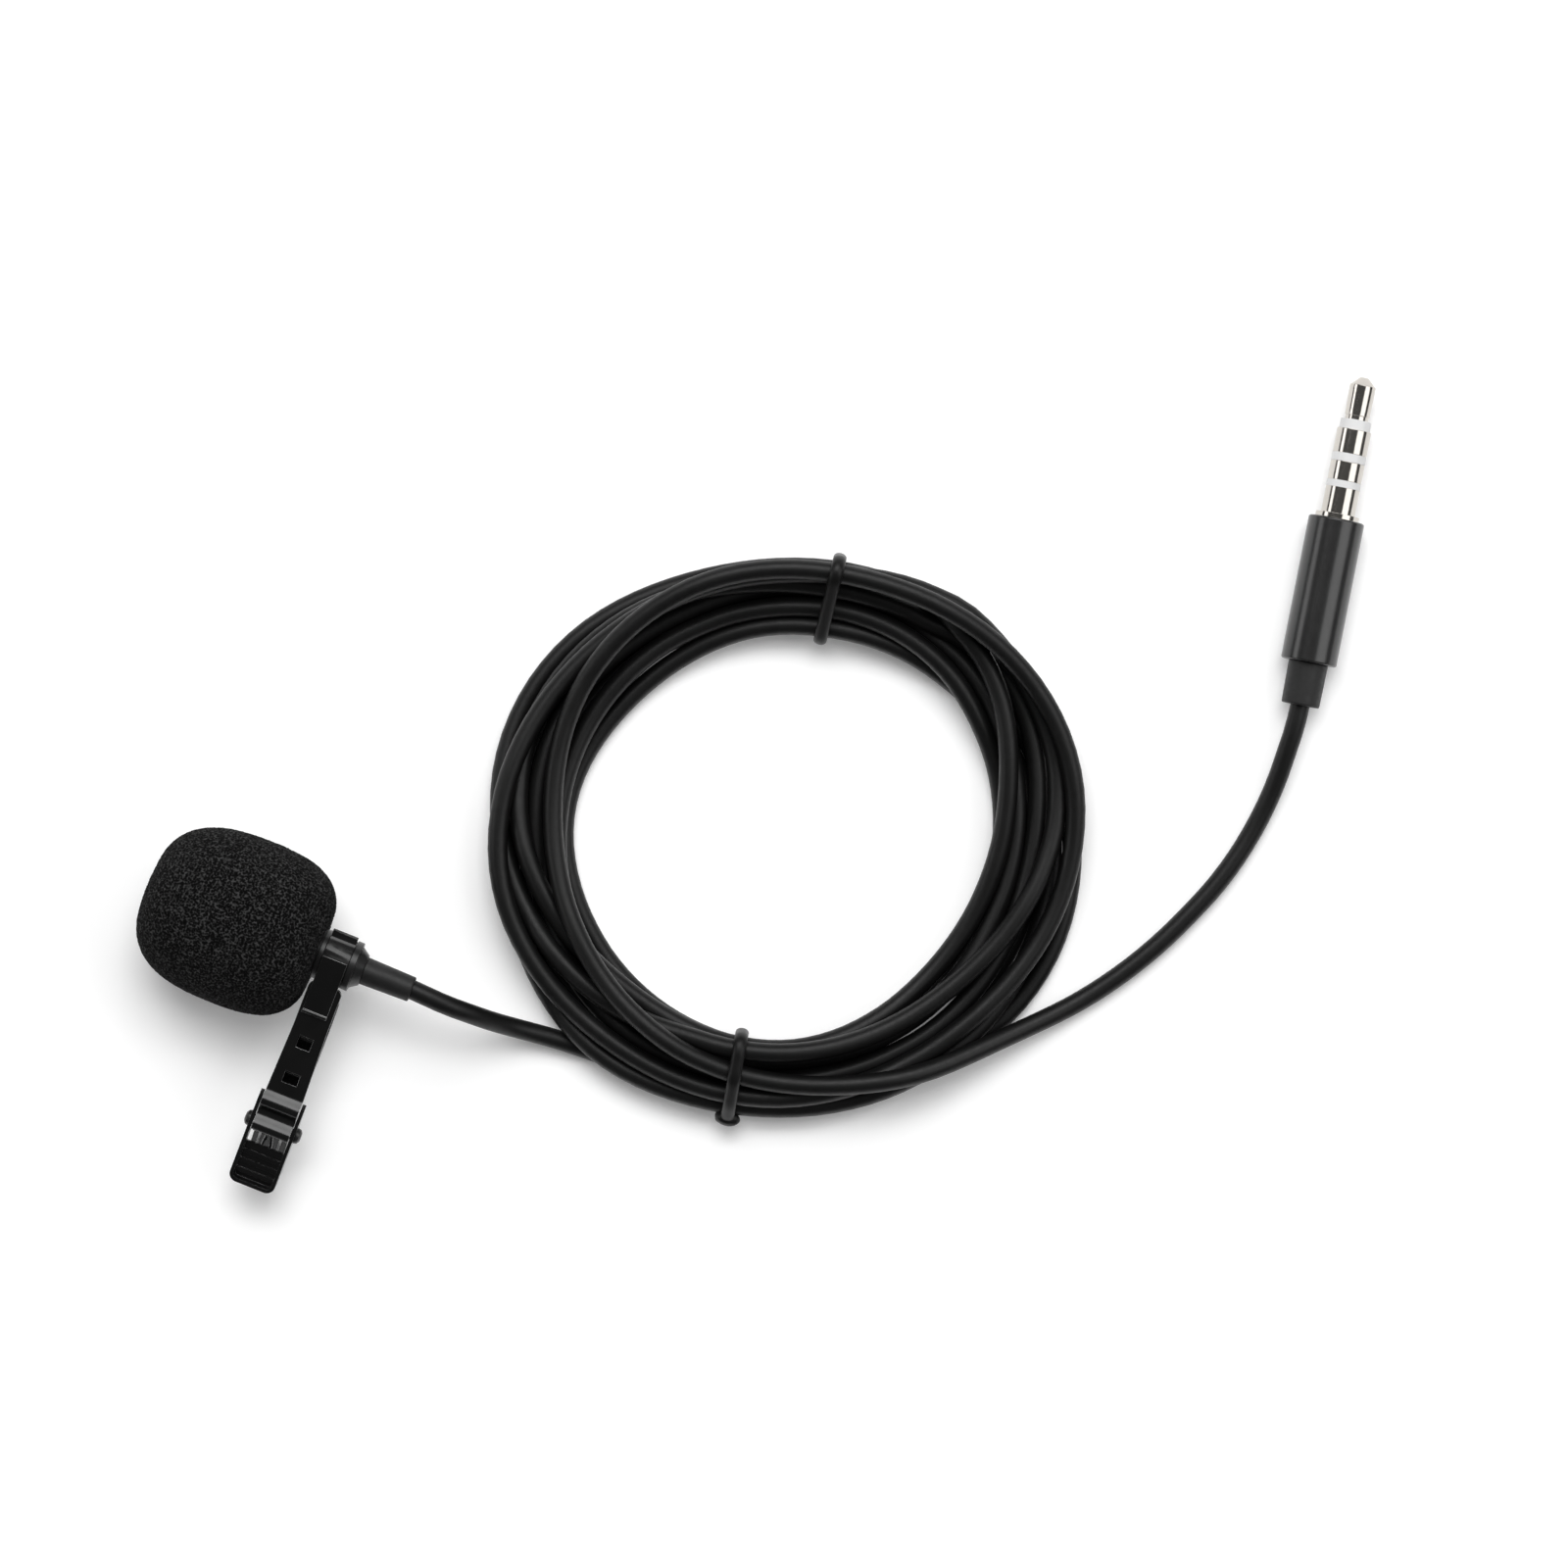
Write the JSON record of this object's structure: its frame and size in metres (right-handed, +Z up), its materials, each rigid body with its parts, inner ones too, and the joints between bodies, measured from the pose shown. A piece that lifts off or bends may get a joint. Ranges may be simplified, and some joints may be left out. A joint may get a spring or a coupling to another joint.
{
  "type": "lavalier microphone",
  "caption": "Clip-on microphone with foam windscreen, sprung tie clip, coiled cord held by loops, and a straight 3.5 mm four-pole plug.",
  "frame": {"origin": "on the surface the object lies on, below the middle of the box round the microphone and its clip", "axes": "+X along the barrel from the nose to the cord, the clip points along -Y, +Z up from the surface"},
  "size_m": [0.1032, 0.1177, 0.0174],
  "materials": {
    "foam": "open-cell foam, matt, fine speckle",
    "mic_metal": "satin black",
    "ring_metal": "satin dark grey",
    "clip_metal": "gloss black with bare edges",
    "pin_metal": "satin black",
    "spring": "drawn wire",
    "felt": "matt",
    "rubber": "matt",
    "can": "satin",
    "capsule_brass": "bright",
    "insulator": "white moulded",
    "board": "glass-fibre board",
    "jfet": "moulded",
    "wire": "insulated wire",
    "relief": "satin moulded",
    "cord": "satin black jacket",
    "tie": "satin rubber",
    "nickel": "polished nickel",
    "handle": "smooth black"
  },
  "bodies": {
    "microphone": {"mic_housing": "mic_metal", "front_grille": "mic_metal", "dust_felt": "felt", "capsule_boot": "rubber", "capsule_can": "can", "diaphragm": "capsule_brass", "backplate": "capsule_brass", "backplate_holder": "insulator", "capsule_board": "board", "jfet": "jfet", "lead_wires": "wire", "rear_cap": "mic_metal", "cord_crimp": "capsule_brass", "mic_strain_relief": "relief", "cord_mic_lead": "cord", "cord_coil": "cord", "cord_plug_lead": "cord", "tie_upper": "tie", "tie_lower": "tie", "plug_tip": "nickel", "plug_insulator_1": "insulator", "plug_ring_1": "nickel", "plug_insulator_2": "insulator", "plug_ring_2": "nickel", "plug_insulator_3": "insulator", "plug_sleeve": "nickel", "plug_wires": "wire", "plug_handle": "handle", "plug_strain_relief": "relief"},
    "windscreen": {"windscreen": "foam"},
    "clip": {"holder_ring": "ring_metal", "ring_strap": "clip_metal", "front_strip": "clip_metal", "thumb_lever": "clip_metal", "pivot_pin": "pin_metal", "torsion_spring": "spring"},
    "rear_jaw": {"rear_jaw": "clip_metal"}
  },
  "joints": [
    {"name": "windscreen_pull", "type": "slide", "parent": "microphone", "child": "windscreen", "axis": [-1, 0, 0], "range_m": [0, 0.011]},
    {"name": "clip_swivel", "type": "hinge", "parent": "microphone", "child": "clip", "pos_m": [0.0061, 0.00799, 0.0087], "axis": [-1, 0, 0], "continuous": true},
    {"name": "jaw_open", "type": "hinge", "parent": "clip", "child": "rear_jaw", "pos_m": [0.00622, -0.01012, 0.0065], "axis": [-1, 0, 0], "range_deg": [0, 28], "stiffness_Nm_per_rad": 0.012, "springref_deg": -28.65, "deforming": ["torsion_spring"]}
  ]
}
